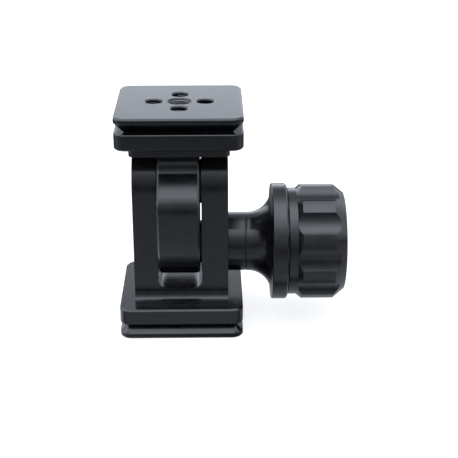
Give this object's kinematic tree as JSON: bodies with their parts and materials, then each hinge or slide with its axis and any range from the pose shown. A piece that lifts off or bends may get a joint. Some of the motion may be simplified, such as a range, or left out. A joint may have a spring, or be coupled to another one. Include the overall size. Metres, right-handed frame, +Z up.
{
  "type": "monopod tilt head",
  "caption": "Tilt head for a monopod: a fork on a dovetail foot holds a tilting dovetail platform, locked by a side knob.",
  "frame": {"origin": "centre of the foot's underside, on the axis of the monopod thread", "axes": "+Z up towards the platform, +X along the clamp bolt towards the knob, +Y away from the picture's camera"},
  "size_m": [0.0698, 0.0396, 0.0705],
  "materials": {
    "anodised_body": "black anodised over fine bead blasting, satin",
    "anodised_knob": "black anodised over fine turning marks, satin",
    "stainless": "bare stainless steel, turned",
    "black_steel": "black oxide",
    "bronze": "plain bearing bronze",
    "black_plastic": "matt acetal"
  },
  "bodies": {
    "fork_body": {"fork": "anodised_body", "monopod_bush": "stainless", "bush_lock_screws": "black_steel", "pivot_bolt": "stainless", "pivot_lock_screw": "black_steel", "pivot_washer_left": "black_plastic", "pivot_washer_right": "black_plastic", "clamp_bolt": "stainless", "clamp_bolt_cap": "black_plastic", "friction_washer_left": "black_plastic", "friction_washer_right": "black_plastic", "knob_collar": "anodised_body", "disc_springs": "stainless", "knob_dust_washer": "black_plastic", "stop_washer": "stainless", "stop_screw": "black_steel"},
    "platform_body": {"tilt_tongue": "anodised_body", "pivot_bush": "bronze", "top_plate": "anodised_body", "platform_screws": "black_steel", "platform_insert": "stainless", "locating_pins": "stainless"},
    "thrust_body": {"thrust_race_inner": "stainless"},
    "cage_body": {"needle_cage": "bronze", "thrust_needles": "stainless"},
    "knob_body": {"thrust_race_outer": "stainless", "knob_hub": "anodised_knob", "knob_nut": "bronze", "knob_grip": "anodised_knob", "knob_screws": "black_steel", "knob_end_cap": "anodised_knob"}
  },
  "joints": [
    {"name": "platform_tilt", "type": "hinge", "parent": "fork_body", "child": "platform_body", "pos_m": [0, 0, 0.0451], "axis": [1, 0, 0], "range_deg": [-40, 40]},
    {"name": "knob_lift", "type": "slide", "parent": "fork_body", "child": "thrust_body", "axis": [1, 0, 0], "range_m": [0, 0.002]},
    {"name": "cage_turn", "type": "hinge", "parent": "thrust_body", "child": "cage_body", "pos_m": [0, 0, 0.0247], "axis": [1, 0, 0], "range_deg": [0, 360]},
    {"name": "knob_turn", "type": "hinge", "parent": "thrust_body", "child": "knob_body", "pos_m": [0, 0, 0.0247], "axis": [1, 0, 0], "range_deg": [0, 720]}
  ],
  "couplings": [
    {"joint": "knob_turn", "follows": "knob_lift", "rad_per_m": 6283.2},
    {"joint": "cage_turn", "follows": "knob_lift", "rad_per_m": 3141.6}
  ]
}
